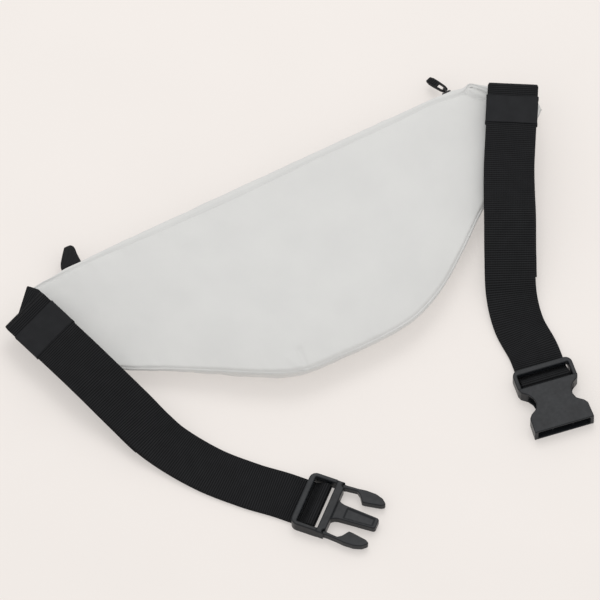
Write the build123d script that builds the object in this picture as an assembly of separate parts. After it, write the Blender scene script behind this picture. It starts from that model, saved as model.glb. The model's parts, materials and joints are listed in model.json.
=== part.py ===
"""Zipped waist pack lying on its front, back panel up, with both belt straps laid out.

Built in bag coordinates, in millimetres: X runs along the zip, Y points to the zip edge,
Z is up from the surface that the pack lies on.  Before export everything is moved so that
the origin is at the middle of the bottom of the whole pack's bounding box.
"""
import math
import os

from build123d import *

# ---------------------------------------------------------------- driving dimensions
FABRIC = 1.2                    # coated fabric with its backing
SEAM_GAP = 0.2                  # room between panels that meet in a seam
FOAM = 4.0
LINING = 0.5
WEB_WIDTH = 38.0
WEB_THICK = 1.5
WEB_STEP = 1.75                 # height of one folded layer over the next
BUCKLE_WIDTH = 47.0
BUCKLE_HEIGHT = 10.0
SLOT_WIDTH = 40.6               # between the side rails of a buckle
BAR_RADIUS = 1.8                # round inner bar that the webbing wraps
BAR_HEIGHT = 4.6
BAR_CLEAR = 0.25
OUTER_BAR = 4.5
OUTER_BAR_UNDERSIDE = 4.5
KEEPER_LENGTH = 24.0
KEEPER_THICK = 0.9
KEEPER_CLEAR = 0.35
STRAP_LIFT = 22.0               # underside of the strap where it crosses the bag
ANCHOR_DROP = {"left": 3.3, "right": 4.8}   # down to the sewn end, which lies on the wing

ZIP_Y = 11.0                    # face of the top gusset at the zip
ZIP_Z = 12.0
ZIP_LEFT, ZIP_RIGHT = -158.0, 164.0
ZIP_REACH = 167.0               # the gusset keeps its full shape this far from the middle
ZIP_SLOT = 3.8                  # from the zip's middle to the fabric edge on either side
COIL_HALF = 0.6                 # half the gap between the two coils
COIL_WIDE, COIL_DEEP = 2.0, 2.2
TAPE_WIDTH, TAPE_THICK = 4.0, 0.6
SLIDER_X = 163.0
STOP_X = -136.0
RING_END = 4.15                 # from the bridge's bar to the wire that the pull turns on
PULL_DROOP = 12.0               # degrees that the pull hangs below level
PULL_SWING = 20.0               # degrees that it lies off square to the zip

# Plan of the bag: Y of the two long seams of the back panel, along X.
TOP_SEAM = [(-214, -10), (-207, -2), (-200, 5), (-190, 8), (-175, 7.5), (-150, 6.2), (-86, 3),
            (0, 2.4), (60, 3.2), (118, 4.6), (148, 6), (163, 4.4), (173, 4.6), (181, 9), (190, 1),
            (200, -8), (210, -17), (219, -27)]
BOTTOM_SEAM = [(-214, -22), (-200, -47), (-174, -79), (-137, -103), (-107, -123),
               (-80, -141), (-54, -154), (-25, -157), (38, -155), (72, -142),
               (100, -122), (135, -93), (172, -68), (200, -50), (219, -34)]
TOP_HEIGHT = [(0, 25), (80, 25), (130, 23), (158, 20.5), (175, 18), (190, 16), (219, 15)]
LOW_HEIGHT = [(0, 25), (80, 24.5), (130, 19.5), (158, 16.8), (175, 15.8), (219, 15)]
FRONT_FLAT = 140.0              # the front panel is flat this far from the middle
TIP_LIFT = 9.4                  # underside of a wing tip
TIP_X = 219.0
GUSSET_END = 196.0              # the gussets stop here and leave the wing tips open
DOME = [(0, 6.5), (90, 4.5), (130, 1.8), (160, 0.5), (219, 0.2)]
STATIONS = [-214, -207, -200, -195, -188, -180, -167, -158, -135, -107, -80, -54, -25, 0, 38,
            72, 100, 135, 150, 158, 167, 175, 181, 188, 195, 202, 210, 219]

# Routes of the two straps along their middles: plan points, underside height and the
# degrees that the outer edge hangs down.
# The first run of each is straight, for the keeper to slide on.
LEFT_ROUTE = [(-210.7, -12, STRAP_LIFT, 16), (-196.1, -66.7, STRAP_LIFT, 16), (-190.6, -87, 20.6, 13),
              (-180, -118, 12.6, 8), (-169.3, -149.2, 5, 3), (-149.2, -184.8, 0.6, 0),
              (-127, -213.1, 0, 0), (-110.5, -230.6, 0, 0), (-100.1, -242.8, 0, 0)]
RIGHT_ROUTE = [(206.6, -12, STRAP_LIFT, 0), (172.8, -68, STRAP_LIFT, 0), (161, -89, 21.6, 0),
               (148.6, -112.6, 19.2, 0), (136.2, -136, 12, 0), (123.6, -162, 4, 0),
               (117, -186, 0.4, 0), (115.6, -211, 0, 0), (112.9, -227, 0, 0)]
FIXED_START = -1.0              # where the fixed run leaves its fold at the wing
KEEPER_START = 9.5
MALE_BAR, FEMALE_BAR = 14.5, 12.0
MALE_TIP = (-59.7, -290.0)
FEMALE_MOUTH = (103.0, -284.4)

nodes = {}


# ---------------------------------------------------------------- helpers
def curve(table, x):
    """Smooth value at x through a short table of (x, value) pairs."""
    k = 1
    while k < len(table) - 1 and x > table[k][0]:
        k += 1
    (x0, y0), (x1, y1) = table[k - 1], table[k]

    def slope(i):
        a, b = table[max(i - 1, 0)], table[min(i + 1, len(table) - 1)]
        return (b[1] - a[1]) / (b[0] - a[0])

    h = x1 - x0
    t = (x - x0) / h
    return ((2 * t ** 3 - 3 * t ** 2 + 1) * y0 + (t ** 3 - 2 * t ** 2 + t) * h * slope(k - 1)
            + (3 * t ** 2 - 2 * t ** 3) * y1 + (t ** 3 - t ** 2) * h * slope(k))


def loft(rings):
    """Closed solid with straight sides between rings of points."""
    wires = [Wire.make_polygon([Vector(*p) for p in ring], close=True) for ring in rings]
    return Solid.make_loft(wires, ruled=True)


def inset(line, thickness):
    """The line moved to its right-hand side by the thickness, in its own plane."""
    moved = []
    for i, (y, z) in enumerate(line):
        a, b = line[max(i - 1, 0)], line[min(i + 1, len(line) - 1)]
        dy, dz = b[0] - a[0], b[1] - a[1]
        length = math.hypot(dy, dz)
        moved.append((y + dz / length * thickness, z - dy / length * thickness))
    return moved


def skin(stations, outline, thickness):
    """Thin panel lofted along X; outline(x) gives its outer face as (y, z) points."""
    rings = []
    for x in stations:
        outer = outline(x)
        ring = outer + inset(outer, thickness)[::-1]
        rings.append([(x, y, z) for y, z in ring])
    return loft(rings)


def box(x, y, z):
    """Block between the given ranges."""
    size = [b - a for a, b in (x, y, z)]
    middle = [(a + b) / 2 for a, b in (x, y, z)]
    return Pos(*middle) * Box(*size)


def prism(points, bottom, top):
    """Upright solid over a closed outline of (x, y) points."""
    face = make_face(Polyline(*[(x, y, bottom) for x, y in points], close=True))
    return extrude(face, top - bottom, dir=(0, 0, 1))


# ---------------------------------------------------------------- bag panels
def across(x, eta):
    """Y at the fraction eta of the way from the bottom seam to the top seam."""
    low, high = curve(BOTTOM_SEAM, x), curve(TOP_SEAM, x)
    return low + (high - low) * eta


def lift(x):
    """Underside of the front panel: flat on the ground, rising to the wing tips."""
    beyond = max(0.0, abs(x) - FRONT_FLAT)
    return TIP_LIFT * (beyond / (TIP_X - FRONT_FLAT)) ** 2


def back_height(x, eta):
    """Outer face of the back panel: seam heights plus a dome that is flat in its middle."""
    low, high = curve(LOW_HEIGHT, abs(x)), curve(TOP_HEIGHT, abs(x))
    return low + (high - low) * eta + curve(DOME, abs(x)) * (1 - abs(2 * eta - 1) ** 3)


def back_face(x, margin, depth):
    """Back panel line from the bottom seam to the top seam, less a margin, at a depth."""
    edge = min(margin / (across(x, 1) - across(x, 0)), 0.4)
    steps = (0, 0.06, 0.16, 0.32, 0.5, 0.68, 0.84, 0.94, 1)
    fractions = [edge + (1 - 2 * edge) * f for f in steps]
    return [(across(x, f), back_height(x, f) - depth) for f in fractions]


def fullness(x):
    """1 where the bag is deep, falling to little at the wing tips."""
    return max(0.15, min(1.0, (curve(LOW_HEIGHT, abs(x)) - lift(x) - 4) / 13))


def gusset_bulge(x):
    """How far the top gusset stands out past the back seam."""
    full = ZIP_Y - curve(TOP_SEAM, x)
    fade = min(1.0, (TIP_X - abs(x)) / (TIP_X - ZIP_REACH))
    return max(2.4, full * fade)


def level(x, fraction, table):
    """Height at a fraction of the bag's depth at x, up to the seam of the given table."""
    return lift(x) + (curve(table, abs(x)) - lift(x)) * fraction


def zip_edge(x, side):
    """Height of the fabric edge beside the zip, above it or below it."""
    fade = min(1.0, max(0.0, (abs(x) - ZIP_REACH) / 25))
    closed = level(x, 0.5, TOP_HEIGHT) + side * 0.4
    return (ZIP_Z + side * ZIP_SLOT) * (1 - fade) + closed * fade


def top_gusset_back(x):
    """From the back seam round to the upper edge of the zip."""
    y, b, low, high = curve(TOP_SEAM, x), gusset_bulge(x), zip_edge(x, 1), level(x, 1, TOP_HEIGHT)
    steps = [(0.4, 0.9), (0.8, 0.62), (0.98, 0.25), (1, 0)]
    start = [(y + 0.5, high - SEAM_GAP)]
    return start + [(y + b * p, low + (high - low) * q) for p, q in steps]


def top_gusset_front(x):
    """From the lower edge of the zip round to the front seam."""
    y, b, low, high = curve(TOP_SEAM, x), gusset_bulge(x), lift(x), zip_edge(x, -1)
    steps = [(1, 1), (0.97, 0.72), (0.8, 0.38), (0.5, 0.12), (0.22, 0)]
    return [(y + b * p, low + (high - low) * q) for p, q in steps]


def front_low_edge(x):
    """Y of the front panel's seam along the bottom gusset."""
    return curve(BOTTOM_SEAM, x) + 13 * fullness(x)


def bottom_gusset(x):
    """From the front seam, rolled outwards and up to just under the back panel."""
    y, f, top = curve(BOTTOM_SEAM, x), fullness(x), curve(LOW_HEIGHT, abs(x))
    steps = [(13, 0), (8, 0.05), (3.2, 0.2), (-0.6, 0.5), (-1.4, 0.78)]
    line = [(y + p * f, level(x, q, LOW_HEIGHT)) for p, q in steps]
    return line + [(y + 0.1, top - FABRIC - 2 * SEAM_GAP)]


def front_face(x):
    """Front panel line from the top gusset's seam to the bottom gusset's seam."""
    low = front_low_edge(x) + 1.4
    high = curve(TOP_SEAM, x) + gusset_bulge(x) * 0.22 - FABRIC - 1
    return [(high + (low - high) * f, lift(x)) for f in (0, 0.25, 0.5, 0.75, 1)]


def make_front_panel():
    """Flat middle that the bag rests on, with a rising wing at either end."""
    flat = [x for x in STATIONS if abs(x) <= FRONT_FLAT]
    near = [(x, front_face(x)[-1][0]) for x in flat]
    far = [(x, front_face(x)[0][0]) for x in flat]
    panel = prism(near + far[::-1], 0, FABRIC)
    for side in (1, -1):
        wing = [x for x in STATIONS if side * x >= flat[-1]]
        panel += skin(wing, front_face, FABRIC)
    return panel


def make_bag():
    sides = [x for x in STATIONS if abs(x) <= GUSSET_END]
    inner = [x for x in STATIONS if abs(x) <= 181]
    deep = [x for x in STATIONS if abs(x) <= 158]
    lining_depth = FABRIC + FOAM + 1.4
    nodes["back_panel"] = skin(STATIONS, lambda x: back_face(x, 0.9, 0), FABRIC)
    nodes["back_foam_pad"] = skin(inner, lambda x: back_face(x, 9, FABRIC + 0.5), FOAM)
    nodes["back_lining"] = skin(deep, lambda x: back_face(x, 11, lining_depth), LINING)
    nodes["front_panel"] = make_front_panel()
    nodes["bottom_gusset"] = skin(sides, bottom_gusset, FABRIC)
    nodes["top_gusset_back"] = skin(sides, top_gusset_back, FABRIC)
    nodes["top_gusset_front"] = skin(sides, top_gusset_front, FABRIC)

    def front_lining(x):
        low, high = front_low_edge(x) + 6, curve(TOP_SEAM, x) - 4
        return [(high + (low - high) * f, lift(x) + FABRIC + 0.4) for f in (0, 0.5, 1)]

    nodes["front_lining"] = skin(deep, front_lining, LINING)


# ---------------------------------------------------------------- zip
def make_zip():
    """Two tapes with their coils, the stop, and the slider with its pull."""
    face = ZIP_Y - 2.6
    coil = (face - COIL_DEEP / 2, face + COIL_DEEP / 2)
    tape = (face - TAPE_THICK / 2, face + TAPE_THICK / 2)
    for name, side in (("back", 1), ("front", -1)):
        near, far = ZIP_Z + side * COIL_HALF, ZIP_Z + side * (COIL_HALF + COIL_WIDE)
        edge = far + side * (TAPE_WIDTH - COIL_WIDE)
        rod = box((ZIP_LEFT, ZIP_RIGHT), coil, sorted((near, far)))
        nodes[f"zip_coil_{name}"] = fillet(rod.edges().filter_by(Axis.X), 0.5)
        nodes[f"zip_tape_{name}"] = box((ZIP_LEFT, ZIP_RIGHT), tape, sorted((far, edge)))
    stop = box((STOP_X, STOP_X + 2.4), (coil[1], coil[1] + 0.9), (ZIP_Z - 3, ZIP_Z + 3))
    nodes["zip_bottom_stop"] = fillet(stop.edges().filter_by(Axis.Y), 0.6)
    make_slider(coil, tape)


def make_slider(coil, tape):
    """Two plates that hold the coils, joined by a thin post that runs between the coils."""
    half, room, plate, wide = 4.6, 0.35, 1.3, 3.4
    outer = (coil[1] + room, coil[1] + room + plate)
    inner = (coil[0] - room - plate, coil[0] - room)
    z_span = (ZIP_Z - wide, ZIP_Z + wide)
    x_span = (SLIDER_X - half, SLIDER_X + half)
    nose = fillet(box(x_span, outer, z_span).edges().filter_by(Axis.Y), 1.6)
    body = nose + box(x_span, inner, z_span)
    body += box((SLIDER_X - 2, SLIDER_X + 3), (inner[0], outer[1]), (ZIP_Z - 0.25, ZIP_Z + 0.25))
    for side in (1, -1):
        lip = sorted((ZIP_Z + side * 2.95, ZIP_Z + side * wide))
        body += box((SLIDER_X - 3, SLIDER_X + 3), (tape[1] + room, outer[1]), lip)
    nodes["zip_slider"] = body
    foot = outer[1]
    arch = box((SLIDER_X - 3.6, SLIDER_X + 3.6), (foot, foot + 3.4), (ZIP_Z - 0.9, ZIP_Z + 0.9))
    arch -= box((SLIDER_X - 2.4, SLIDER_X + 2.4), (foot - 1, foot + 2.2), (ZIP_Z - 2, ZIP_Z + 2))
    nodes["zip_slider_bridge"] = fillet(arch.edges().filter_by(Axis.Z).sort_by(Axis.Y)[-2:], 1.0)
    make_pull(foot + 2.8)


def make_pull(bar_y):
    """Link ring on the bridge's bar, then a moulded pull: an open loop and a ribbed grip.

    Made with the bar at the origin and the pull along +Y, then tilted down by the droop.
    """
    place = Pos(SLIDER_X, bar_y, ZIP_Z) * Rot(X=-PULL_DROOP)
    ring = RectangleRounded(7.0, 4.8, 2.2) - RectangleRounded(4.8, 2.6, 0.4)
    nodes["zip_pull_link"] = place * Pos(0, 1.2, 0) * extrude(Plane.YZ * ring, 0.55, both=True)
    start, thick = 1.7, 1.05
    outline = [(-1.9, 0), (1.9, 0), (2.8, 3), (3.2, 10), (3.2, 15), (2.3, 18.4), (-2.3, 18.4),
               (-3.2, 15), (-3.2, 10), (-2.8, 3)]
    window = [(-1.0, 1.4), (1.0, 1.4), (1.6, 3.4), (1.8, 8.6), (-1.8, 8.6), (-1.6, 3.4)]
    loop = prism(outline, -thick, thick) - prism(window, -3, 3)
    # The pull turns about the wire at the ring's far end, where it lies a little swung.
    swung = place * Pos(0, RING_END, 0) * Rot(Z=PULL_SWING) * Pos(0, start - RING_END, 0)
    nodes["zip_pull_loop"] = swung * loop
    ribs = []
    for y in (10.4, 12.2, 14.0, 15.8):
        for z in (thick, -thick - 0.6):
            ribs.append(swung * box((-2.3, 2.3), (y, y + 0.9), (z, z + 0.6)))
    nodes["zip_pull_grip_ribs"] = Compound(children=ribs)


def make_end_tab():
    """Ribbon tab folded over the closed end of the zip."""
    outline = [(-167, 10.2), (-151.5, 10.2), (-151, 20), (-150.2, 26.5), (-152.5, 30), (-156.5, 29.8),
               (-162.5, 22.5)]
    halves = [prism(outline, ZIP_Z + z, ZIP_Z + z + 1.4) for z in (-1.6, 0.2)]
    fold = prism(outline, ZIP_Z - 0.2, ZIP_Z + 0.2) - box((-170, -140), (0, 28), (0, 30))
    nodes["zip_end_tab"] = halves[0] + halves[1] + fold


# ---------------------------------------------------------------- straps
def route_tables(route):
    """X, Y, Z and lean of a route against the distance along it in plan."""
    s, tables = 0.0, ([], [], [], [])
    for i, point in enumerate(route):
        if i:
            s += math.dist(point[:2], route[i - 1][:2])
        for table, value in zip(tables, point):
            table.append((s, value))
    return tables, s


def strap_frame(route, s):
    """Point, direction, side and up vectors of a strap at the distance s."""
    (tx, ty, tz, tlean), _ = route_tables(route)
    first = tx[1][0]
    start, end = Vector(*route[0][:3]), Vector(*route[1][:3])

    def at(v):
        if v <= first:
            return start + (end - start) * (v / first)
        return Vector(curve(tx, v), curve(ty, v), curve(tz, v))

    point = at(s)
    along = (at(s + 0.5) - at(s - 0.5)).normalized()
    lean = math.radians(route[0][3] if s <= first else curve(tlean, s))
    level_side = Vector(0, 0, 1).cross(along).normalized()
    side = level_side * math.cos(lean) + along.cross(level_side) * math.sin(lean)
    return point, along, side, along.cross(side)


def ribbon(route, path, width):
    """Webbing along a path of (distance, height, sideways) points over the route."""
    rings = []
    for i, (s, h, shift) in enumerate(path):
        a, b = path[max(i - 1, 0)], path[min(i + 1, len(path) - 1)]
        ds, dh = b[0] - a[0], b[1] - a[1]
        scale = WEB_THICK / 2 / math.hypot(ds, dh)
        point, along, side, up = strap_frame(route, s)
        ring = []
        for v, k in ((-width / 2, 1), (width / 2, 1), (width / 2, -1), (-width / 2, -1)):
            corner = point + along * (-dh * scale * k) + up * (h + ds * scale * k)
            ring.append(tuple(corner + side * (v + shift)))
        rings.append(ring)
    return loft(rings)


def even(start, end, step=12.0):
    """Distances from start towards end, without the end itself."""
    count = max(1, round(abs(end - start) / step))
    return [start + (end - start) * i / count for i in range(count)]


def strap_path(bar, tail_end, peek):
    """Fixed run to the inner bar, over it, back under the outer bar, top fold, tail."""
    low, mid, high = 0.95, 0.95 + WEB_STEP, 0.95 + 2 * WEB_STEP
    wrap = BAR_RADIUS + BAR_CLEAR + WEB_THICK / 2
    fold = WEB_STEP / 2
    path = [(s, low, 0) for s in even(FIXED_START, bar - 8)]
    path += [(bar - 8, low, 0), (bar - 3.5, low + 0.5, 0)]
    for degrees in range(-90, 91, 30):
        a = math.radians(degrees)
        path.append((bar + wrap * math.cos(a), BAR_HEIGHT + wrap * math.sin(a), 0))
    path += [(bar - 2.2, 6.9, 0), (bar - 4.4, 5.3, 0), (bar - 6.2, 3.7, 0), (bar - 8.2, mid, 0)]
    path += [(s, mid, 0) for s in even(bar - 15, tail_end + 12)]
    path += [(tail_end + 12, mid, 0), (tail_end + 8, mid + 0.5, 0), (tail_end + 4, high - 0.5, 0)]
    path += [(s, high, 0) for s in even(tail_end, 1.2)]
    for degrees in range(0, 181, 45):
        a = math.radians(degrees)
        path.append((fold - fold * math.sin(a), high - fold + fold * math.cos(a), 0))
    path += [(s, mid, peek * min(1, max(0, (s - 70) / 40))) for s in even(4, tail_end - 1.5)]
    path.append((tail_end - 1.5, mid, peek))
    return path


def keeper(route, start):
    """Elastic loop round the three layers, at the distance start along the strap."""
    point, along, side, up = strap_frame(route, start)
    stack = 3 * WEB_STEP + 0.15
    wide = WEB_WIDTH + 2 * KEEPER_CLEAR + 0.8
    tall = stack + 2 * KEEPER_CLEAR
    ring = RectangleRounded(wide + 2 * KEEPER_THICK, tall + 2 * KEEPER_THICK, 2.2)
    ring -= RectangleRounded(wide, tall, 1.3)
    plane = Plane(origin=point + up * (stack / 2), x_dir=side, z_dir=along)
    return extrude(plane * ring, KEEPER_LENGTH)


def make_straps():
    """Each strap in one length of webbing, its keeper, and its end sewn on the wing."""
    for name, route, bar_at, tail_end, peek in (("left", LEFT_ROUTE, MALE_BAR, 138, -1.0),
                                                ("right", RIGHT_ROUTE, FEMALE_BAR, 160, 1.0)):
        extended = route + [buckle_point(name, 30)]
        _, length = route_tables(route)
        path = strap_path(length + bar_at, tail_end, peek)
        nodes[f"{name}_strap"] = ribbon(extended, path, WEB_WIDTH)
        nodes[f"{name}_keeper"] = keeper(route, KEEPER_START)
        start, drop = FIXED_START, ANCHOR_DROP[name]
        turn = [(start - 0.4, 0.95, 0), (start - 2.2, 0.2, 0), (start - 2.9, -drop / 2 + 0.4, 0),
                (start - 2.2, 0.7 - drop, 0), (start, -drop, 0), (start + 11, -drop, 0)]
        nodes[f"{name}_webbing_anchor"] = ribbon(extended, turn, WEB_WIDTH - 1)


# ---------------------------------------------------------------- buckle
def buckle_point(side, distance):
    """Point on the axis of a buckle half, from its outer bar towards its far end."""
    start = LEFT_ROUTE[-1] if side == "left" else RIGHT_ROUTE[-1]
    end = MALE_TIP if side == "left" else FEMALE_MOUTH
    span = math.dist(start[:2], end)
    return tuple(start[k] + (end[k] - start[k]) / span * distance for k in (0, 1)) + (0, 0)


def buckle_place(side):
    """Location that lays a buckle half, made along +X from the origin, on its strap."""
    start, far = buckle_point(side, 0), buckle_point(side, 10)
    angle = math.degrees(math.atan2(far[1] - start[1], far[0] - start[0]))
    return Pos(start[0], start[1], 0.05) * Rot(Z=angle)


def ladder(slot_end, bar_at):
    """Open frame at the strap end: outer bar on top, side rails, round inner bar."""
    half = BUCKLE_WIDTH / 2
    slot = SLOT_WIDTH / 2
    frame = box((0, slot_end), (-half, half), (0, BUCKLE_HEIGHT))
    corners = frame.edges().filter_by(Axis.Z).sort_by(Axis.X)[:2]
    frame = fillet(corners, 5.5)
    frame -= box((OUTER_BAR, slot_end + 1), (-slot, slot), (-1, BUCKLE_HEIGHT + 1))
    frame -= box((-1, OUTER_BAR + 1), (-slot, slot), (-1, OUTER_BAR_UNDERSIDE))
    bar = Pos(bar_at, 0, BAR_HEIGHT) * Rot(X=90) * Cylinder(BAR_RADIUS, SLOT_WIDTH + 2)
    return frame + bar


def make_male():
    place = buckle_place("left")
    body_at, body_end, tip = 21.0, 27.5, 61.5
    half = BUCKLE_WIDTH / 2
    body = ladder(body_at, MALE_BAR)
    cross = box((body_at - 0.01, body_end), (-half, half), (0.4, 9.4))
    tongue = prism([(27, -9.5), (30, -7.2), (33, -6.4), (tip - 1.5, -4.7), (tip, -3.6), (tip, 3.6),
                    (tip - 1.5, 4.7), (33, 6.4), (30, 7.2), (27, 9.5)], 1.6, 7.8)
    tongue -= prism([(36, -4.6), (tip - 3, -3.2), (tip - 3, 3.2), (36, 4.6)], 7.1, 9)
    body = body + cross + tongue
    pivot_x, pivot_y = 27.2, 21.2
    for side in (1, -1):
        body -= Pos(pivot_x, side * pivot_y, 5) * Cylinder(2.0, 20)
        body -= box((pivot_x, 31), sorted((side * 18.6, side * 30)), (-1, 12))
        arm = prism([(pivot_x, side * 19.9), (37.5, side * 20.9), (40.5, side * 18.6), (44, side * 13.4),
                     (47, side * 13.6), (58.5, side * 15.6), (61, side * 17.2), (61, side * 18.6),
                     (57.5, side * 21.8), (51.5, side * 23.7), (43.5, side * 23.9),
                     (38, side * 23.2), (pivot_x, side * 22.5)], 1.8, 7.6)
        knuckle = Pos(pivot_x, side * pivot_y, 4.7) * Cylinder(1.7, 5.8)
        name = "left" if side == 1 else "right"
        nodes[f"male_latch_arm_{name}"] = place * (arm + knuckle)
    nodes["male_buckle_body"] = place * body


def make_female():
    place = buckle_place("right")
    slot_end, mouth, tall = 18.0, 56.5, 11.6
    half = BUCKLE_WIDTH / 2
    edge = [(slot_end - 1, half), (20.5, 22.4), (24, 17.8), (28, 15.2), (32.5, 14.4), (37, 16),
            (40.5, 21), (43.5, 23), (mouth, half)]
    outline = edge + [(x, -y) for x, y in reversed(edge)]
    shell = prism(outline, 0, tall)
    shell -= box((23.5, mouth + 1), (-20.6, 20.6), (1.7, tall - 1.7))
    for side in (1, -1):
        shell += box((26, mouth - 4), sorted((side * 7.4, side * 8.6)), (1.6, tall - 1.6))
    nodes["female_buckle_body"] = place * (ladder(slot_end, FEMALE_BAR) + shell)


# ---------------------------------------------------------------- stitching
def stitch_row(route, s, half, count, height):
    """Short raised stitches across a strap at the distance s."""
    point, along, side, up = strap_frame(route, s)
    step = 2 * half / count
    row = []
    for i in range(count):
        centre = point + side * (-half + step * (i + 0.5)) + up * (height + 0.18)
        plane = Plane(origin=centre, x_dir=side, z_dir=up)
        row.append(plane * Box(step * 0.66, 0.5, 0.3))
    return row


def make_stitching():
    """Box of stitches that holds each webbing anchor on its wing."""
    for name, route in (("left", LEFT_ROUTE), ("right", RIGHT_ROUTE)):
        height = WEB_THICK / 2 - ANCHOR_DROP[name]
        rows = stitch_row(route, 4, 13, 8, height) + stitch_row(route, 6.4, 13, 8, height)
        nodes[f"{name}_anchor_stitches"] = Compound(children=rows)


# ---------------------------------------------------------------- build and export
def main():
    make_bag()
    make_zip()
    make_end_tab()
    make_straps()
    make_male()
    make_female()
    make_stitching()
    boxes = [shape.bounding_box() for shape in nodes.values()]
    low = [min(getattr(b.min, a) for b in boxes) for a in "XYZ"]
    high = [max(getattr(b.max, a) for b in boxes) for a in "XYZ"]
    shift = (-(low[0] + high[0]) / 2, -(low[1] + high[1]) / 2, -low[2])
    os.makedirs("parts", exist_ok=True)
    for name, shape in nodes.items():
        export_step(Pos(*shift) * shape, f"parts/{name}.step")
    print("shift", [round(v, 3) for v in shift])
    print("size", [round(b - a, 2) for a, b in zip(low, high)])


main()
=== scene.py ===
"""Zipped waist pack lying on its front: fabric shell, webbing straps, keepers and buckle."""
import json
import math

import bpy
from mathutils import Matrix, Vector, noise


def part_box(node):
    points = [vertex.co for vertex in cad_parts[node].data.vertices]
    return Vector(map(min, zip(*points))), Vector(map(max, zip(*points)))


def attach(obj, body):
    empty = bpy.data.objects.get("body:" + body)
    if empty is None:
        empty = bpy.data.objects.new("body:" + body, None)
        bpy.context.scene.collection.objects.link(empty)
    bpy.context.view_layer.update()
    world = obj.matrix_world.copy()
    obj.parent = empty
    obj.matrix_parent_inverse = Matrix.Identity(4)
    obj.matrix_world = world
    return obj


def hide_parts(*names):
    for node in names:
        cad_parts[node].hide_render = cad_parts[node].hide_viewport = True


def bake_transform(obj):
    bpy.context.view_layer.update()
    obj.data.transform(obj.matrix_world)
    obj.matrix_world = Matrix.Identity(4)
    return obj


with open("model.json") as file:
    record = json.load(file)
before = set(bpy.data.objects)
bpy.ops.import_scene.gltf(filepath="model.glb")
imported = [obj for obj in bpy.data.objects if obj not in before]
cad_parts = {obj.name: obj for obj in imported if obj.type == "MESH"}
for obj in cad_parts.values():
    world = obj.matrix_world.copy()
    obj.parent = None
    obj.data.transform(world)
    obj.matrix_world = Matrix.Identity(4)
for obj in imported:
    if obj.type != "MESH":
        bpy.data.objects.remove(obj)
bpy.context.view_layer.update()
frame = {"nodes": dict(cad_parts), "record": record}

# ---------------------------------------------------------------- driving dimensions
# Shapes are written in bag millimetres: X along the zip, Y towards the zip edge, Z up.
MM = 0.001
FABRIC = 1.2
WEB_WIDTH = 38.0
WEB_THICK = 1.5
WEB_STEP = 1.75
RIB_PITCH = 1.7
BAR_WRAP = 1.8 + 0.25 + WEB_THICK / 2
BAR_HEIGHT = 4.6
STRAP_LIFT = 22.0
ANCHOR_DROP = {"left": 3.3, "right": 4.8}
KEEPER_LENGTH = 24.0
KEEPER_START = 9.5
KEEPER_THICK = 0.9
RIB_HEIGHT = 0.13
BAND_STEP = 0.425
STRAP_START = -1.0
TAIL_END = {"left": 138, "right": 160}
FOAM_THICK = 3.6
LINING_THICK = 0.4
GUSSET_THICK = 1.0
ROW_STEP = 1.5
ZIP_Y, ZIP_Z = 11.0, 12.0
ZIP_LEFT, ZIP_RIGHT = -158.0, 164.0
ZIP_REACH = 167.0
ZIP_SLOT = 3.8
COIL_DEEP = 2.2
COIL_FACE = ZIP_Y - 2.6
FRONT_FLAT = 140.0
TIP_LIFT = 9.4
LEFT_TIP, RIGHT_TIP = -214.0, 219.0
MALE_BAR, FEMALE_BAR = 14.5, 12.0
MALE_TIP = (-59.7, -290.0)
FEMALE_MOUTH = (103.0, -284.4)

TOP_SEAM = [(-214, -10), (-207, -2), (-200, 5), (-190, 8), (-175, 7.5), (-150, 6.2), (-86, 3),
            (0, 2.4), (60, 3.2), (118, 4.6), (148, 6), (163, 4.4), (173, 4.6), (181, 9), (190, 1),
            (200, -8), (210, -17), (219, -27)]
BOTTOM_SEAM = [(-214, -22), (-200, -47), (-174, -79), (-137, -103), (-107, -123),
               (-80, -141), (-54, -154), (-25, -157), (38, -155), (72, -142),
               (100, -122), (135, -93), (172, -68), (200, -50), (219, -34)]
TOP_HEIGHT = [(0, 25), (80, 25), (130, 23), (158, 20.5), (175, 18), (190, 16), (219, 15)]
LOW_HEIGHT = [(0, 25), (80, 24.5), (130, 19.5), (158, 16.8), (175, 15.8), (219, 15)]
DOME = [(0, 6.5), (90, 4.5), (130, 1.8), (160, 0.5), (219, 0.2)]
# Plan points, underside height, and the degrees that the outer edge of the strap hangs down.
LEFT_ROUTE = [(-210.7, -12, STRAP_LIFT, 16), (-196.1, -66.7, STRAP_LIFT, 16), (-190.6, -87, 20.6, 13),
              (-180, -118, 12.6, 8), (-169.3, -149.2, 5, 3), (-149.2, -184.8, 0.6, 0),
              (-127, -213.1, 0, 0), (-110.5, -230.6, 0, 0), (-100.1, -242.8, 0, 0)]
RIGHT_ROUTE = [(206.6, -12, STRAP_LIFT, 0), (172.8, -68, STRAP_LIFT, 0), (161, -89, 21.6, 0),
               (148.6, -112.6, 19.2, 0), (136.2, -136, 12, 0), (123.6, -162, 4, 0),
               (117, -186, 0.4, 0), (115.6, -211, 0, 0), (112.9, -227, 0, 0)]

# The CAD coil starts at the left end of the zip, which fixes where bag millimetres lie.
coil_low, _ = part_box("zip_coil_back")
BAG_ORIGIN = Vector((coil_low[0] - ZIP_LEFT * MM, coil_low[1] - (COIL_FACE - COIL_DEEP / 2) * MM, 0))


# ---------------------------------------------------------------- shape helpers
def place(x, y, z):
    """A point of the bag, in metres in the shared frame."""
    return BAG_ORIGIN + Vector((x, y, z)) * MM


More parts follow.
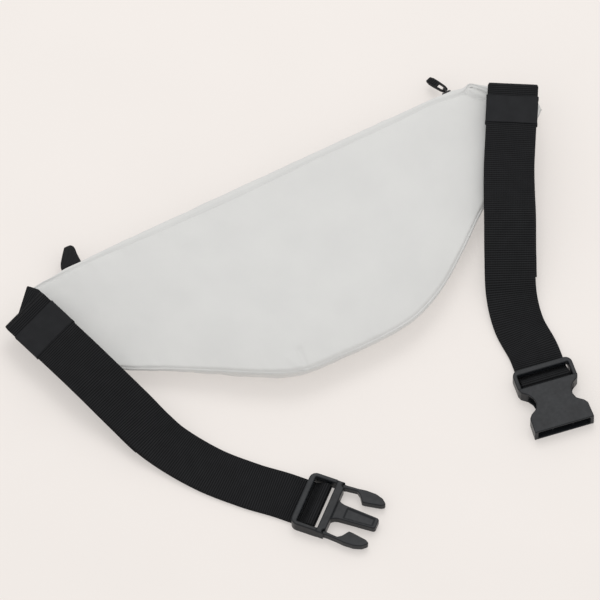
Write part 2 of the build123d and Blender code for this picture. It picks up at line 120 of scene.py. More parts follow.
def curve(table, x):
    """Smooth value at x through a short table of (x, value) pairs."""
    k = 1
    while k < len(table) - 1 and x > table[k][0]:
        k += 1
    (x0, y0), (x1, y1) = table[k - 1], table[k]

    def slope(i):
        a, b = table[max(i - 1, 0)], table[min(i + 1, len(table) - 1)]
        return (b[1] - a[1]) / (b[0] - a[0])

    h = x1 - x0
    t = (x - x0) / h
    return ((2 * t ** 3 - 3 * t ** 2 + 1) * y0 + (t ** 3 - 2 * t ** 2 + t) * h * slope(k - 1)
            + (3 * t ** 2 - 2 * t ** 3) * y1 + (t ** 3 - t ** 2) * h * slope(k))


def spread(low, high, step):
    """Even values from low to high, about a step apart."""
    count = max(1, round((high - low) / step))
    return [low + (high - low) * i / count for i in range(count + 1)]


def smooth_line(points, step=1.0):
    """Points spaced evenly along a smooth line through the given tuples."""
    reach = [0.0]
    for a, b in zip(points, points[1:]):
        reach.append(reach[-1] + math.dist(a, b))
    tables = [[(s, p[k]) for s, p in zip(reach, points)] for k in range(len(points[0]))]
    count = max(2, round(reach[-1] / step))
    return [tuple(curve(t, reach[-1] * i / count) for t in tables) for i in range(count + 1)]


def bell(distance, width):
    """1 at no distance, falling smoothly to 0 over a few widths."""
    return math.exp(-(distance / width) ** 2)


def ripple(x, y, size, seed=0.0):
    """Soft noise about zero with features of the given size in millimetres."""
    return noise.noise(Vector((x / size, y / size, seed)))


# ---------------------------------------------------------------- mesh helpers
def mesh_piece(name, vertices, faces, uvs=None):
    """Smooth-shaded object from vertices in metres; uvs holds one pair for each vertex."""
    mesh = bpy.data.meshes.new(name)
    mesh.from_pydata([tuple(v) for v in vertices], [], faces)
    mesh.polygons.foreach_set("use_smooth", [True] * len(mesh.polygons))
    if uvs:
        layer = mesh.uv_layers.new(name="UVMap")
        flat = []
        for loop in mesh.loops:
            flat.extend(uvs[loop.vertex_index])
        layer.data.foreach_set("uv", flat)
    mesh.update()
    piece = bpy.data.objects.new(name, mesh)
    bpy.context.scene.collection.objects.link(piece)
    return piece


def grid_faces(rows, columns, around=False):
    """Quads over a grid of vertices; around joins the last column to the first."""
    faces = []
    for r in range(rows - 1):
        for c in range(columns if around else columns - 1):
            d = (c + 1) % columns
            faces.append((r * columns + c, (r + 1) * columns + c,
                          (r + 1) * columns + d, r * columns + d))
    return faces


def sheet_piece(name, rows, thickness, inward=-1.0):
    """Cloth of a real thickness over rows of points, with lengths in metres as its UVs."""
    vertices, uvs = [], []
    middle = len(rows[0]) // 2
    along = 0.0
    for r, row in enumerate(rows):
        if r:
            along += (row[middle] - rows[r - 1][middle]).length
        across = [0.0]
        for a, b in zip(row, row[1:]):
            across.append(across[-1] + (b - a).length)
        vertices += row
        uvs += [(along, s - across[middle]) for s in across]
    piece = mesh_piece(name, vertices, grid_faces(len(rows), len(rows[0])), uvs)
    thick = piece.modifiers.new("thickness", "SOLIDIFY")
    thick.thickness = thickness * MM
    thick.offset = inward
    return piece


def tube_piece(name, line, radius, sides):
    """Round tube along points in metres."""
    vertices = []
    count = len(line)
    side = None
    for i, point in enumerate(line):
        before, after = line[max(i - 1, 0)], line[min(i + 1, count - 1)]
        along = (after - before).normalized()
        if side is None:
            side = along.orthogonal().normalized()
        side = (side - along * side.dot(along)).normalized()
        up = along.cross(side)
        for k in range(sides):
            a = 2 * math.pi * k / sides
            vertices.append(point + (side * math.cos(a) + up * math.sin(a)) * radius * MM)
    faces = grid_faces(count, sides, around=True)
    faces.append(tuple(range(sides)))
    faces.append(tuple((count - 1) * sides + k for k in range(sides))[::-1])
    return mesh_piece(name, vertices, faces)


def finish_piece(piece, body, slot, node=None):
    """Material, slot and body of a built piece; the CAD node that it stands for is hidden."""
    piece.data.materials.append(MATERIALS[slot])
    if node:
        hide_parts(node)
    if body:
        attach(piece, body)


# ---------------------------------------------------------------- materials
class Nodes:
    """Short names for building one material's node tree."""

    def __init__(self, name):
        self.material = bpy.data.materials.new(name)
        self.material.use_nodes = True
        self.tree = self.material.node_tree
        self.shader = self.tree.nodes["Principled BSDF"]

    def add(self, kind, **values):
        node = self.tree.nodes.new(kind)
        for key, value in values.items():
            setattr(node, key, value)
        return node

    def link(self, out, into):
        self.tree.links.new(out, into)

    def math(self, operation, a, b=None, c=None):
        """One math node over values or the outputs of other nodes."""
        node = self.add("ShaderNodeMath", operation=operation)
        for socket, value in zip(node.inputs, (a, b, c)):
            if value is None:
                continue
            if hasattr(value, "is_linked"):
                self.link(value, socket)
            else:
                socket.default_value = value
        return node.outputs[0]

    def axes(self, kind="UV"):
        """X, Y and Z of the UVs or of the object's own coordinates, in metres."""
        split = self.add("ShaderNodeSeparateXYZ")
        source = self.add("ShaderNodeTexCoord")
        self.link(source.outputs[kind], split.inputs[0])
        return split.outputs, source.outputs[kind]

    def stripes(self, value, pitch):
        """0 to 1 and back over each pitch in millimetres."""
        turn = self.math("MULTIPLY", value, 2 * math.pi / (pitch * MM))
        return self.math("MULTIPLY_ADD", self.math("SINE", turn), 0.5, 0.5)

    def noise(self, vector, size, detail=3.0):
        """Noise with features of the given size in millimetres."""
        node = self.add("ShaderNodeTexNoise")
        node.inputs["Scale"].default_value = 1 / (size * MM)
        node.inputs["Detail"].default_value = detail
        self.link(vector, node.inputs["Vector"])
        return node.outputs["Fac"]

    def ramp(self, value, low, high, start=0.3, end=0.7):
        """Colour from low to high as the value goes from start to end."""
        node = self.add("ShaderNodeValToRGB")
        first, last = node.color_ramp.elements
        first.position, last.position = start, end
        first.color, last.color = (*low, 1), (*high, 1)
        self.link(value, node.inputs[0])
        return node.outputs[0]

    def multiply(self, a, b, share=1.0):
        """Colour a times colour b."""
        node = self.add("ShaderNodeMix", data_type="RGBA", blend_type="MULTIPLY")
        node.inputs[0].default_value = share
        self.link(a, node.inputs[6])
        self.link(b, node.inputs[7])
        return node.outputs[2]

    def bump(self, height, depth, strength=1.0, under=None):
        """Relief of a depth in millimetres, over an earlier bump if one is given."""
        node = self.add("ShaderNodeBump")
        node.inputs["Strength"].default_value = strength
        node.inputs["Distance"].default_value = depth * MM
        self.link(height, node.inputs["Height"])
        if under:
            self.link(under, node.inputs["Normal"])
        return node.outputs[0]


def grey(level, tint=(1, 1, 1)):
    """Grey colour of a level, with an optional tint."""
    return tuple(level * t for t in tint)


def coated_fabric(name, light, dark, rough):
    """Pale coated cloth: soft cloudy tone, a fine plain weave and a faint sheen."""
    n = Nodes(name)
    uv, vector = n.axes()
    cloud = n.ramp(n.noise(vector, 38), dark, light, 0.35, 0.65)
    weave = n.math("MULTIPLY", n.stripes(uv[0], 0.9), n.stripes(uv[1], 0.9))
    thread = n.ramp(weave, grey(0.94), grey(1.0), 0.0, 0.6)
    n.link(n.multiply(cloud, thread), n.shader.inputs["Base Color"])
    grain = n.noise(vector, 0.8, 4.0)
    fine = n.bump(weave, 0.10, 0.5)
    n.link(n.bump(grain, 0.12, 0.35, fine), n.shader.inputs["Normal"])
    n.link(n.math("MULTIPLY_ADD", grain, 0.18, rough), n.shader.inputs["Roughness"])
    n.shader.inputs["Sheen Weight"].default_value = 0.12
    n.shader.inputs["Specular IOR Level"].default_value = 0.35
    return n.material


def woven_band(name, light, dark, rib, yarn, rough, depth=0.16):
    """Dark narrow cloth: ribs across the band, yarns along it, and a little fuzz."""
    n = Nodes(name)
    uv, vector = n.axes()
    ribs = n.stripes(uv[1], rib)
    yarns = n.stripes(uv[0], yarn)
    weave = n.math("MULTIPLY_ADD", yarns, 0.35, ribs)
    tone = n.ramp(weave, dark, light, 0.1, 1.1)
    worn = n.ramp(n.noise(vector, 9, 5.0), grey(0.82), grey(1.0), 0.3, 0.7)
    n.link(n.multiply(tone, worn), n.shader.inputs["Base Color"])
    fuzz = n.noise(vector, 0.35, 5.0)
    under = n.bump(weave, depth, 0.9)
    n.link(n.bump(fuzz, 0.12, 0.5, under), n.shader.inputs["Normal"])
    n.link(n.math("MULTIPLY_ADD", fuzz, 0.2, rough), n.shader.inputs["Roughness"])
    n.shader.inputs["Specular IOR Level"].default_value = 0.1
    return n.material


def moulded(name, light, dark, rough, grain_size=0.5, grain_depth=0.03, metallic=0.0):
    """Moulded or lacquered part: flow marks in the tone, fine texture, uneven gloss."""
    n = Nodes(name)
    _, vector = n.axes("Object")
    flow = n.noise(vector, 14, 4.0)
    n.link(n.ramp(flow, dark, light, 0.3, 0.7), n.shader.inputs["Base Color"])
    grain = n.noise(vector, grain_size, 4.0)
    n.link(n.bump(grain, grain_depth, 0.6), n.shader.inputs["Normal"])
    gloss = n.math("MULTIPLY_ADD", n.noise(vector, 3, 3.0), 0.22, rough)
    n.link(gloss, n.shader.inputs["Roughness"])
    n.shader.inputs["Metallic"].default_value = metallic
    n.shader.inputs["Specular IOR Level"].default_value = 0.2
    return n.material


def make_materials():
    black = (0.96, 1.0, 1.1)
    return {
        "shell_fabric": coated_fabric("shell_fabric", (0.70, 0.705, 0.695), (0.675, 0.68, 0.672), 0.42),
        "lining_fabric": coated_fabric("lining_fabric", grey(0.32), grey(0.28), 0.6),
        "zip_tape": coated_fabric("zip_tape", grey(0.62), grey(0.56), 0.6),
        "foam": moulded("foam", grey(0.66), grey(0.58), 0.75, 1.1, 0.25),
        "webbing": woven_band("webbing", grey(0.019, black), grey(0.0025, black), RIB_PITCH, 1.3, 0.6),
        "elastic": woven_band("elastic", grey(0.026, black), grey(0.013, black), 0.9, 0.9, 0.6, 0.06),
        "tab_fabric": woven_band("tab_fabric", grey(0.022, black), grey(0.009, black), 1.1, 1.0, 0.55),
        "thread": moulded("thread", grey(0.03, black), grey(0.015, black), 0.6, 0.3, 0.08),
        "zip_coil": moulded("zip_coil", grey(0.60), grey(0.52), 0.35, 0.4),
        "zip_metal": moulded("zip_metal", grey(0.05), grey(0.03), 0.28, 0.4, 0.015, 0.6),
        "pull_rubber": moulded("pull_rubber", grey(0.009, black), grey(0.006, black), 0.42, 0.4, 0.04),
        "buckle_plastic": moulded("buckle_plastic", (0.015, 0.017, 0.020), (0.010, 0.011, 0.013), 0.22),
    }


MATERIALS = make_materials()


# ---------------------------------------------------------------- bag
def across(x, eta):
    """Y of the point a share eta of the way from the bottom seam to the top seam."""
    low, high = curve(BOTTOM_SEAM, x), curve(TOP_SEAM, x)
    return low + (high - low) * eta


def lift(x):
    """Underside of the front panel: flat on the ground, rising to the wing tips."""
    return TIP_LIFT * (max(0.0, abs(x) - FRONT_FLAT) / (RIGHT_TIP - FRONT_FLAT)) ** 2


def back_height(x, eta):
    """Height of the back panel: its two seams with a crown between them."""
    low, high = curve(LOW_HEIGHT, abs(x)), curve(TOP_HEIGHT, abs(x))
    return low + (high - low) * eta + curve(DOME, abs(x)) * (1 - abs(2 * eta - 1) ** 3)


def fullness(x):
    """1 where the bag is deep, falling to little at the wing tips."""
    return max(0.15, min(1.0, (curve(LOW_HEIGHT, abs(x)) - lift(x) - 4) / 13))


def gusset_bulge(x):
    """How far the top gusset stands out past the back seam."""
    full = ZIP_Y - curve(TOP_SEAM, x)
    fade = min(1.0, (RIGHT_TIP - abs(x)) / (RIGHT_TIP - ZIP_REACH))
    return max(2.4, full * fade)


def level(x, fraction, table):
    return lift(x) + (curve(table, abs(x)) - lift(x)) * fraction


def zip_edge(x, side):
    """Height of the fabric edge beside the zip, above it or below it."""
    fade = min(1.0, max(0.0, (abs(x) - ZIP_REACH) / 25))
    return (ZIP_Z + side * ZIP_SLOT) * (1 - fade) + (level(x, 0.5, TOP_HEIGHT) + side * 0.1) * fade


def crease(x, y, start, end, width):
    """1 on a line between two plan points, falling off to its sides and its ends."""
    (x0, y0), (x1, y1) = start, end
    dx, dy = x1 - x0, y1 - y0
    t = ((x - x0) * dx + (y - y0) * dy) / (dx * dx + dy * dy)
    t = min(1.0, max(0.0, t))
    return bell(math.dist((x, y), (x0 + t * dx, y0 + t * dy)), width)


CREASES = [((179, 9.5), (192, -6), 1.1, -2.2), ((174, 4), (190, -13), 1.5, -1.9),
           ((168, -2), (188, -22), 5.0, 0.5), ((-206, -6), (-176, -3), 4.0, -0.35),
           ((-196, -40), (-168, -30), 7.0, -0.4), ((-48, -155), (-46, -140), 2.2, -1.1),
           ((-52, -155), (-56, -143), 3.0, 0.5)]


def back_relief(x, y, edge):
    """Height added to the back panel: soft waves, seam puckers and a few creases."""
    relief = 0.9 * ripple(x, y, 75) + 0.35 * ripple(x, y, 26, 4.0)
    pull = 0.55 * ripple(x, edge * 0.35, 7.5, 9.0) + 0.25 * ripple(x, edge * 0.4, 3.6, 2.0)
    relief += pull * math.exp(-edge / 6.5) * (1 - math.exp(-edge / 1.2))
    relief -= 1.7 * bell(edge, 1.3)
    for start, end, width, height in CREASES:
        relief += height * crease(x, y, start, end, width)
    return relief


def back_rows():
    steps = [0.5 - 0.5 * math.cos(math.pi * v) for v in spread(0, 1, 1 / 96)]
    rows = []
    for x in spread(LEFT_TIP, RIGHT_TIP, ROW_STEP):
        low, high = curve(BOTTOM_SEAM, x), curve(TOP_SEAM, x)
        row = []
        for eta in steps:
            y = low + (high - low) * eta
            edge = min(y - low, high - y)
            row.append(place(x, y, back_height(x, eta) + back_relief(x, y, edge)))
        rows.append(row)
    return rows


def gusset_rows(line, relief):
    """Rows of a panel whose section at x is a smooth line of (y, z) points."""
    rows = []
    for x in spread(LEFT_TIP, RIGHT_TIP, ROW_STEP):
        points = smooth_line(line(x), 1.0)
        count = 18
        row = []
        for i in range(count + 1):
            s = i / count * (len(points) - 1)
            k = min(int(s), len(points) - 2)
            a, b = points[k], points[k + 1]
            y, z = (a[j] + (b[j] - a[j]) * (s - k) for j in (0, 1))
            out = relief(x, i / count)
            row.append(place(x, y + out[0], z + out[1]))
        rows.append(row)
    return rows


def bottom_gusset(x):
    """From the front seam, rolled outwards and up into the seam with the back panel."""
    y, f = curve(BOTTOM_SEAM, x), fullness(x)
    steps = [(16, 0.06), (14.5, 0), (11, 0.03), (7.2, 0.17), (2.6, 0.5), (-0.6, 0.78)]
    line = [(y + p * f, level(x, q, LOW_HEIGHT)) for p, q in steps]
    top = curve(LOW_HEIGHT, abs(x))
    return line + [(y - 0.6, top - 1.3), (y + 1.4, top - 1.6)]


def top_gusset_back(x):
    """From the seam with the back panel round to the turned edge above the zip."""
    y, b = curve(TOP_SEAM, x), gusset_bulge(x)
    low, high = zip_edge(x, 1), curve(TOP_HEIGHT, abs(x))
    steps = [(0.36, 0.93), (0.8, 0.64), (0.98, 0.27), (1, 0.02)]
    line = [(y - 1.6, high - 1.5), (y + 0.4, high - 1.1)]
    line += [(y + b * p, low + (high - low) * q) for p, q in steps]
    return line + [(y + b - 0.7, low - 0.25), (y + b - 1.9, low + 0.5)]


def top_gusset_front(x):
    """From the turned edge below the zip round to the front seam."""
    y, b, low, high = curve(TOP_SEAM, x), gusset_bulge(x), lift(x), zip_edge(x, -1)
    line = [(y + b - 1.9, high - 0.5), (y + b - 0.7, high + 0.25)]
    steps = [(1, 0.98), (0.98, 0.72), (0.82, 0.38), (0.5, 0.1), (0.22, 0)]
    line += [(y + b * p, low + (high - low) * q) for p, q in steps]
    return line + [(y + b * 0.1, low + 0.9)]


def front_rows():
    steps = spread(0, 1, 1 / 60)
    rows = []
    for x in spread(LEFT_TIP, RIGHT_TIP, ROW_STEP):
        high = curve(TOP_SEAM, x) + gusset_bulge(x) * 0.22
        low = curve(BOTTOM_SEAM, x) + 14.5 * fullness(x)
        row = []
        for f in steps:
            y = high + (low - high) * f
            edge = min(high - y, y - low)
            wave = 0.5 + 0.5 * ripple(x, y, 60, 3.0)
            tuck = 1.0 * bell(edge, 1.4) + 0.6 * wave * (1 - bell(edge, 20))
            row.append(place(x, y, lift(x) + tuck))
        rows.append(row)
    return rows


def tip_cap(name, x, outward):
    """Small panel that closes a wing tip between the back and the front panel."""
    rows = []
    for f in spread(0, 1, 1 / 12):
        eta = 0.02 + 0.96 * f
        y = across(x, eta)
        top, bottom = back_height(x, eta) - 0.7, lift(x) + 0.6
        row = []
        for g in spread(0, 1, 1 / 10):
            bow = 4 * g * (1 - g)
            row.append(place(x + outward * (1.4 * bow - 0.6), y, top + (bottom - top) * g))
        rows.append(row)
    return sheet_piece(name, rows, 1.0, outward)


def make_bag():
    def lower_relief(x, f):
        pull = 0.7 * ripple(x, f * 6, 9, 5.0) + 0.35 * ripple(x, f * 5, 4, 6.0)
        return pull * math.sin(math.pi * f) * -1.0, 0.3 * pull * math.sin(math.pi * f)

    def upper_relief(x, f):
        pull = 0.5 * ripple(x, f * 6, 11, 7.0)
        return pull * math.sin(math.pi * f), 0.0

    panels = (("back_panel", back_rows(), FABRIC),
              ("front_panel", front_rows(), FABRIC),
              ("bottom_gusset", gusset_rows(bottom_gusset, lower_relief), FABRIC),
              ("top_gusset_back", gusset_rows(top_gusset_back, upper_relief), GUSSET_THICK),
              ("top_gusset_front", gusset_rows(top_gusset_front, upper_relief), GUSSET_THICK))
    for node, rows, thickness in panels:
        finish_piece(sheet_piece(f"{node}_cloth", rows, thickness), "bag", "shell_fabric", node)
    finish_piece(tip_cap("left_tip_cap", LEFT_TIP, -1), "bag", "shell_fabric")
    finish_piece(tip_cap("right_tip_cap", RIGHT_TIP, 1), "bag", "shell_fabric")


def make_inside():
    """Foam pad behind the back panel and the two linings."""
    rows = []
    for x in spread(-179, 179, 3):
        row = []
        for eta in spread(0, 1, 1 / 40):
            low, high = curve(BOTTOM_SEAM, x) + 9, curve(TOP_SEAM, x) - 9
            y = low + (high - low) * eta
            part = (y - across(x, 0)) / (across(x, 1) - across(x, 0))
            row.append(place(x, y, back_height(x, part) - FABRIC - 0.9))
        rows.append(row)
    foam = sheet_piece("back_foam_pad_soft", rows, FOAM_THICK)
    edge = foam.modifiers.new("soft edge", "BEVEL")
    edge.width, edge.segments, edge.limit_method = 1.1 * MM, 3, "ANGLE"
    finish_piece(foam, "bag", "foam", "back_foam_pad")
    for name, node, depth in (("back_lining_cloth", "back_lining", -6.9),
                              ("front_lining_cloth", "front_lining", 1.9)):
        rows = []
        for x in spread(-157, 157, 3):
            row = []
            for eta in spread(0, 1, 1 / 40):
                y = curve(BOTTOM_SEAM, x) + 13 + (across(x, 1) - across(x, 0) - 24) * eta
                part = (y - across(x, 0)) / (across(x, 1) - across(x, 0))
                base = back_height(x, part) if depth < 0 else lift(x)
                row.append(place(x, y, base + depth + 0.3 * ripple(x, y, 30, 8.0)))
            rows.append(row)
        lining = sheet_piece(name, rows, LINING_THICK)
        finish_piece(lining, "bag", "lining_fabric", node)


# ---------------------------------------------------------------- zip
def make_zip():
    """Coils wound as a flattened helix, and the woven tapes."""
    pitch, turn_steps = 1.25, 10
    for name, side in (("back", 1), ("front", -1)):
        line = []
        for i in range(round((ZIP_RIGHT - ZIP_LEFT) / pitch * turn_steps)):
            a = 2 * math.pi * i / turn_steps
            x = ZIP_LEFT + pitch * i / turn_steps + (pitch / 4 if side > 0 else -pitch / 4)
            z = ZIP_Z + side * (1.55 + 1.05 * math.cos(a))
            line.append(place(x, COIL_FACE + 0.75 * math.sin(a), z))
        coil = tube_piece(f"zip_coil_{name}_wound", line, 0.34, 6)
        finish_piece(coil, "bag", "zip_coil", f"zip_coil_{name}")
        rows = []
        for x in spread(ZIP_LEFT, ZIP_RIGHT, 1.6):
            row = []
            for w in spread(1.9, 6.6, 0.6):
                ridge = 0.25 * bell(w - 3.3, 0.5)
                y = COIL_FACE + ridge + 0.15 * ripple(x, w, 14, 1.0)
                row.append(place(x, y, ZIP_Z + side * w))
            rows.append(row)
        tape = sheet_piece(f"zip_tape_{name}_woven", rows, 0.6, 0.0)
        finish_piece(tape, "bag", "zip_tape", f"zip_tape_{name}")


def make_end_tab():
    """Ribbon folded over the closed end of the zip, pinched in towards its fold."""
    left = [(10, -167), (16.5, -166.6), (22.5, -162.5), (29.6, -156.8)]
    right = [(10, -151.5), (20, -151), (26.5, -150.2), (30.2, -152)]
    rows = []
    for t in spread(0, 1, 1 / 48):
        v = 2 * t - 1
        y = 29.6 - 19.4 * abs(v) ** 1.15
        gap = (1.1 - 0.5 * math.exp(-abs(v) * 3)) * min(1.0, abs(v) * 7)
        row = []
        for w in spread(0, 1, 1 / 20):
            x = curve(left, y) + (curve(right, y) - curve(left, y)) * w
            puff = 0.9 * math.sin(math.pi * w) * min(1.0, abs(v) * 2.5)
            wave = 0.35 * ripple(x, y, 6, 2.5)
            drop = 1.6 * math.sin(math.pi * w) * bell(v, 0.2)
            z = ZIP_Z + math.copysign(gap + puff, v) + wave
            row.append(place(x, y + 0.15 * drop, z))
        rows.append(row)
    tab = sheet_piece("zip_end_tab_ribbon", rows, 0.9, 0.0)
    finish_piece(tab, "bag", "tab_fabric", "zip_end_tab")


# ---------------------------------------------------------------- straps
def route_tables(route):
    s, tables = 0.0, ([], [], [], [])
    for i, point in enumerate(route):
        if i:
            s += math.dist(point[:2], route[i - 1][:2])
        for table, value in zip(tables, point):
            table.append((s, value))
    return tables, s


def buckle_point(side, distance):
    """Point on the axis of a buckle half, from its outer bar towards its far end."""
    start = LEFT_ROUTE[-1] if side == "left" else RIGHT_ROUTE[-1]
    end = MALE_TIP if side == "left" else FEMALE_MOUTH
    span = math.dist(start[:2], end)
    return tuple(start[k] + (end[k] - start[k]) / span * distance for k in (0, 1)) + (0, 0)


class Route:
    """The line that a strap follows, with the frame of directions along it."""

    def __init__(self, side, points):
        self.points = points + [buckle_point(side, 30)]
        self.tables, _ = route_tables(self.points)
        _, self.length = route_tables(points)
        self.first = self.tables[0][1][0]

    def at(self, s):
        if s <= self.first:
            a, b = Vector(self.points[0][:3]), Vector(self.points[1][:3])
            return a + (b - a) * (s / self.first)
        return Vector([curve(t, s) for t in self.tables[:3]])

    def frame(self, s):
        """Point, direction, side and up vectors at the distance s."""
        along = (self.at(s + 0.5) - self.at(s - 0.5)).normalized()
        lean = math.radians(self.points[0][3] if s <= self.first else curve(self.tables[3], s))
        level_side = Vector((0, 0, 1)).cross(along).normalized()
        side = level_side * math.cos(lean) + along.cross(level_side) * math.sin(lean)
        return self.at(s), along, side, along.cross(side)


def band_profile(width, thick):
    """Rounded section of a band as (across, fraction of half thickness, flatness)."""
    half = width / 2
    right = (0.3, 0.6, 0.86, 0.94, 0.985, 1)
    offsets = [half * v for v in (*(-r for r in reversed(right)), 0, *right)]
    tops = [(v, 0.62 if abs(v) > half * 0.99 else 1.0) for v in offsets]
    edge = [(half + 0.18, 0.0)]
    return tops + edge + [(v, -k) for v, k in reversed(tops)] + [(-half - 0.18, 0.0)]


def band(name, route, path, width, thick):
    """Woven band along a path of (distance, height, sideways) points, with real ribs."""
    profile = band_profile(width, thick)
    points = smooth_line(path, BAND_STEP)
    vertices, uvs = [], []
    for i, (s, h, shift) in enumerate(points):
        a, b = points[max(i - 1, 0)], points[min(i + 1, len(points) - 1)]
        ds, dh = b[0] - a[0], b[1] - a[1]
        size = math.hypot(ds, dh)
        point, along, side, up = route.frame(s)
        away = i * BAND_STEP
        crest = RIB_HEIGHT * math.sin(2 * math.pi * away / RIB_PITCH)
        for v, k in profile:
            inner = min(1.0, (width / 2 + 0.2 - abs(v)) / 1.6)
            reach = k * (thick / 2 + crest * inner) / size
            spot = point + along * (-dh * reach) + up * (h + ds * reach) + side * (v + shift)
            vertices.append(place(*spot))
            uvs.append((v * MM, away * MM))
    faces = grid_faces(len(points), len(profile), around=True)
    faces.append(tuple(range(len(profile))))
    last = (len(points) - 1) * len(profile)
    faces.append(tuple(last + k for k in range(len(profile)))[::-1])
    return mesh_piece(name, vertices, faces, uvs)


def even(start, end, step=12.0):
    """Even values from start towards end, which is left out."""
    count = max(1, round(abs(end - start) / step))
    return [start + (end - start) * i / count for i in range(count)]


def strap_path(bar, tail_end, peek):
    """Fixed run to the inner bar, over it, back under the outer bar, top fold, tail."""
    low, mid, high = 0.95, 0.95 + WEB_STEP, 0.95 + 2 * WEB_STEP
    fold = WEB_STEP / 2
    path = [(s, low, 0) for s in even(STRAP_START, bar - 8)]
    path += [(bar - 8, low, 0), (bar - 3.5, low + 0.5, 0)]
    for degrees in range(-90, 91, 30):
        a = math.radians(degrees)
        path.append((bar + BAR_WRAP * math.cos(a), BAR_HEIGHT + BAR_WRAP * math.sin(a), 0))
    path += [(bar - 2.2, 6.9, 0), (bar - 4.4, 5.3, 0), (bar - 6.2, 3.7, 0),
             (bar - 8.2, mid, 0)]
    path += [(s, mid, 0) for s in even(bar - 15, tail_end + 12)]
    path += [(tail_end + 12, mid, 0), (tail_end + 8, mid + 0.5, 0),
             (tail_end + 4, high - 0.5, 0)]
    path += [(s, high, 0) for s in even(tail_end, 1.2)]
    for degrees in range(0, 181, 45):
        a = math.radians(degrees)
        path.append((fold - fold * math.sin(a), high - fold + fold * math.cos(a), 0))
    path += [(s, mid, peek * min(1, max(0, (s - 70) / 40))) for s in even(4, tail_end - 1.5)]
    path.append((tail_end - 1.5, mid, peek))
    return path


def keeper(name, route):
    """Elastic band round the three layers: rounded corners, slack at its two rims."""
    stack = 3 * WEB_STEP + 0.15
    half_wide, half_tall, corner = WEB_WIDTH / 2 + 0.75, stack / 2 + 0.35, 1.3
    loop = []
    for cx, cy, turn in ((1, 1, 0), (-1, 1, 90), (-1, -1, 180), (1, -1, 270)):
        for k in range(7):
            a = math.radians(turn + 15 * k)
            loop.append((cx * (half_wide - corner) + corner * math.cos(a),
                         cy * (half_tall - corner) + corner * math.sin(a)))
        if turn in (0, 180):
            for f in (0.2, 0.4, 0.6, 0.8):
                loop.append((cx * (half_wide - corner) * (1 - 2 * f), cy * half_tall))
    rows, uvs = [], []
    reach = [0.0]
    for a, b in zip(loop, loop[1:]):
        reach.append(reach[-1] + math.dist(a, b))
    steps = spread(0, 1, 1 / 44)
    for t in steps:
        s = KEEPER_START + KEEPER_LENGTH * t
        point, along, side, up = route.frame(s)
        rim = bell(t, 0.05) + bell(1 - t, 0.05)
        for (v, h), r in zip(loop, reach):
            swell = 1 + 0.012 * rim + 0.004 * ripple(v, s, 8, 3.0)
            bow = 0.9 * (1 - (v / half_wide) ** 2) * (0.5 - t)
            crown = 0.25 * math.sin(math.pi * t) if h > 0 else 0
            height = stack / 2 + h * (1 + 0.06 * rim) + crown
            spot = point + side * v * swell + up * height + along * bow * 0.9
            rows.append(place(*spot))
            uvs.append((r * MM, s * MM))
    piece = mesh_piece(name, rows, grid_faces(len(steps), len(loop), around=True), uvs)
    thick = piece.modifiers.new("thickness", "SOLIDIFY")
    thick.thickness, thick.offset = KEEPER_THICK * MM, 1.0
    edge = piece.modifiers.new("soft rims", "BEVEL")
    edge.width, edge.segments, edge.limit_method = 0.3 * MM, 2, "ANGLE"
    return piece


def stitches(name, route, drop):
    """Two rows of raised thread stitches that hold a webbing end on its wing."""
    vertices, faces = [], []
    for s in (4.0, 6.4):
        point, along, side, up = route.frame(s)
        for i in range(8):
            middle = -13 + 26 / 8 * (i + 0.5)
            base = len(vertices)
            for j in range(7):
                t = j / 6 * 2 - 1
                centre = point + side * (middle + 1.15 * t) + up * (WEB_THICK / 2 - drop + 0.12)
                round_off = 0.26 * math.sqrt(max(0.02, 1 - t * t * 0.97))
                for k in range(6):
                    a = math.pi / 3 * k
                    spot = centre + along * math.cos(a) * round_off + up * math.sin(a) * round_off
                    vertices.append(place(*spot))
            faces += [tuple(base + q for q in f) for f in grid_faces(7, 6, around=True)]
            faces.append(tuple(base + k for k in range(6)))
            faces.append(tuple(base + 36 + k for k in range(6))[::-1])
    return mesh_piece(name, vertices, faces)


def make_left_corner():
    """Corner of the fixed webbing that shows past the strap's fold, slanting to the wing tip."""
    route = Route("left", LEFT_ROUTE)
    origin, along, _, _ = route.frame(0.0)
    along.z = 0
    along.normalize()
    side = Vector((0, 0, 1)).cross(along)
    rows = []
    for v in spread(-12, 20, 0.8):
        reach = max(0.5, 17.0 * (v + 11) / 27.7) if v < 16.5 else 17.0 - 2.4 * (v - 16.5)
        row = []
        for f in spread(0, 1, 1 / 24):
            e = -7 + (reach + 7) * f
            height = -1.5 + 0.14 * v - 0.05 * e - 0.9 * f ** 4
            spot = origin + side * v - along * e + Vector((0, 0, height))
            row.append(place(*spot))
        rows.append(row)
    corner = sheet_piece("left_webbing_corner", rows, 1.4, 0.0)
    finish_piece(corner, "bag", "webbing")


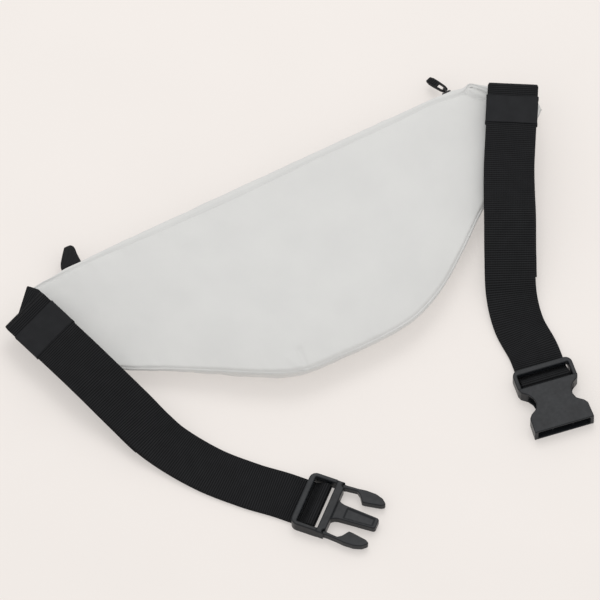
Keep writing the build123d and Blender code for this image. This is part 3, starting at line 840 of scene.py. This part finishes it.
def make_straps():
    for side, points, bar_at, peek in (("left", LEFT_ROUTE, MALE_BAR, -1.0),
                                       ("right", RIGHT_ROUTE, FEMALE_BAR, 1.0)):
        route = Route(side, points)
        path = strap_path(route.length + bar_at, TAIL_END[side], peek)
        strap = band(f"{side}_strap_webbing", route, path, WEB_WIDTH, WEB_THICK)
        finish_piece(strap, f"{side}_strap", "webbing", f"{side}_strap")
        start, drop = STRAP_START, ANCHOR_DROP[side]
        turn = [(start + 0.6, 0.95, 0), (start - 0.4, 0.95, 0), (start - 2.2, 0.2, 0),
                (start - 2.9, 0.4 - drop / 2, 0), (start - 2.2, 0.7 - drop, 0),
                (start, -drop, 0), (start + 11, -drop, 0)]
        anchor = band(f"{side}_anchor_webbing", route, turn, WEB_WIDTH - 1, WEB_THICK)
        finish_piece(anchor, None, "webbing", f"{side}_webbing_anchor")
        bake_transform(anchor)
        loop = keeper(f"{side}_keeper_elastic", route)
        finish_piece(loop, f"{side}_keeper", "elastic", f"{side}_keeper")
        rows = stitches(f"{side}_anchor_thread", route, drop)
        finish_piece(rows, "bag", "thread", f"{side}_anchor_stitches")


# ---------------------------------------------------------------- moulded and cast parts
def moulded_copy(node, body, voxel, passes):
    """The CAD part with its edges rounded over, as a moulding or a casting has them."""
    slots = {part["node"]: part["material_slot"] for part in frame["record"]["subparts"]}
    piece = bpy.data.objects.new(f"{node}_moulded", frame["nodes"][node].data.copy())
    bpy.context.scene.collection.objects.link(piece)
    piece.data.materials.clear()
    skin = piece.modifiers.new("even skin", "REMESH")
    skin.mode, skin.voxel_size, skin.use_smooth_shade = "VOXEL", voxel * MM, True
    worn = piece.modifiers.new("rounded edges", "SMOOTH")
    worn.factor, worn.iterations = 0.5, passes
    finish_piece(piece, body, slots[node], node)


def make_hard_parts():
    for node, voxel, passes in (("male_buckle_body", 0.34, 15), ("female_buckle_body", 0.34, 16),
                                ("male_latch_arm_left", 0.28, 16), ("male_latch_arm_right", 0.28, 16),
                                ("zip_slider", 0.14, 3), ("zip_slider_bridge", 0.1, 4),
                                ("zip_pull_link", 0.07, 3), ("zip_pull_loop", 0.14, 5),
                                ("zip_bottom_stop", 0.08, 3), ("zip_pull_grip_ribs", 0.07, 3)):
        body = next(b for b, nodes in frame["record"]["behaviour"]["bodies"].items() if node in nodes)
        moulded_copy(node, body, voxel, passes)


# ---------------------------------------------------------------- stage, light and camera
def make_stage():
    n = Nodes("floor")
    _, vector = n.axes("Object")
    tone = n.ramp(n.noise(vector, 400, 2.0), (0.865, 0.822, 0.790), (0.875, 0.832, 0.800))
    dull = n.multiply(tone, n.ramp(n.noise(vector, 90, 2.0), grey(0.55), grey(0.56)))
    n.link(dull, n.shader.inputs["Base Color"])
    n.link(tone, n.shader.inputs["Emission Color"])
    n.shader.inputs["Emission Strength"].default_value = 0.46
    n.shader.inputs["Roughness"].default_value = 0.9
    n.shader.inputs["Specular IOR Level"].default_value = 0.0
    half = 8.0
    corners = [(-half, -half, 0), (half, -half, 0), (half, half, 0), (-half, half, 0)]
    floor = mesh_piece("floor", corners, [(0, 1, 2, 3)])
    floor.data.materials.append(n.material)
    world = bpy.data.worlds.new("studio")
    world.use_nodes = True
    sky = world.node_tree.nodes["Background"]
    sky.inputs["Color"].default_value = (1.0, 0.985, 0.97, 1)
    sky.inputs["Strength"].default_value = 0.83
    bpy.context.scene.world = world


def area_light(name, position, target, size, power):
    lamp = bpy.data.lights.new(name, "AREA")
    lamp.size, lamp.energy = size, power
    holder = bpy.data.objects.new(name, lamp)
    holder.location = position
    holder.rotation_euler = (Vector(position) - Vector(target)).to_track_quat("Z", "Y").to_euler()
    bpy.context.scene.collection.objects.link(holder)


def make_lights():
    area_light("overhead_softbox", position=(0.55, 0.9, 2.1), target=(0, 0, 0), size=1.3, power=13)


def make_camera():
    azimuth, elevation, distance, view_width = math.radians(-28.16), math.radians(60), 10.0, 0.453
    target = place(-17.8, -88.1, 0)
    back = Vector((math.sin(azimuth) * math.cos(elevation), -math.cos(azimuth) * math.cos(elevation),
                   math.sin(elevation)))
    lens = bpy.data.cameras.new("camera")
    lens.sensor_width, lens.lens = 36, 36 * distance / view_width
    lens.clip_end = 100
    camera = bpy.data.objects.new("camera", lens)
    camera.location = target + back * distance
    camera.rotation_euler = back.to_track_quat("Z", "Y").to_euler()
    bpy.context.scene.collection.objects.link(camera)
    bpy.context.scene.camera = camera


# ---------------------------------------------------------------- build
make_bag()
make_inside()
make_zip()
make_end_tab()
make_straps()
make_left_corner()
make_hard_parts()
make_stage()
make_lights()
make_camera()
bpy.context.scene.view_settings.view_transform = "Standard"
